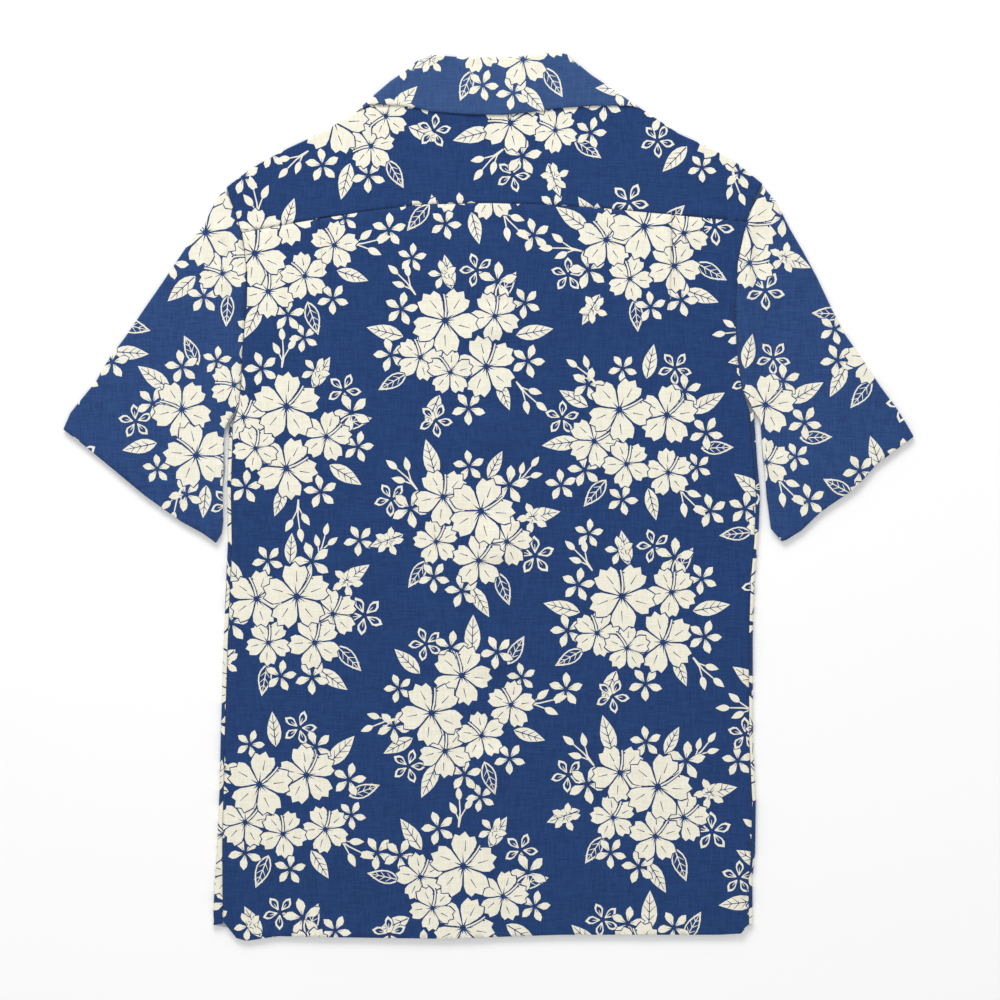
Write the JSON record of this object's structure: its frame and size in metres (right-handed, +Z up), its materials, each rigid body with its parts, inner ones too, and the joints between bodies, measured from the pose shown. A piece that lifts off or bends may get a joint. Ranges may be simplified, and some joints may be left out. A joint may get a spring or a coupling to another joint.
{
  "type": "short-sleeved camp-collar shirt",
  "caption": "Short-sleeved shirt with an open collar, laid flat with its back up: fronts, back with pleats, yoke, sleeves, lapels and collar.",
  "frame": {"origin": "bottom centre of the whole laid-out shirt, on the surface that it lies on", "axes": "+Y from the hem to the collar, +X to the right as seen from above, +Z up from the surface; the back faces +Z"},
  "size_m": [0.7202, 0.7516, 0.0076],
  "materials": {
    "printed_cloth": "printed cotton, blue ground with unprinted cream flowers, matte with a faint sheen",
    "button": "pale shell-like button, polished"
  },
  "bodies": {
    "root": {"back_panel": "printed_cloth", "yoke": "printed_cloth", "front_left": "printed_cloth", "front_right": "printed_cloth", "lapel_left": "printed_cloth", "lapel_right": "printed_cloth", "sleeve_left": "printed_cloth", "sleeve_right": "printed_cloth", "collar": "printed_cloth", "button_1": "button", "button_2": "button", "button_3": "button", "button_4": "button", "button_5": "button"}
  },
  "joints": []
}
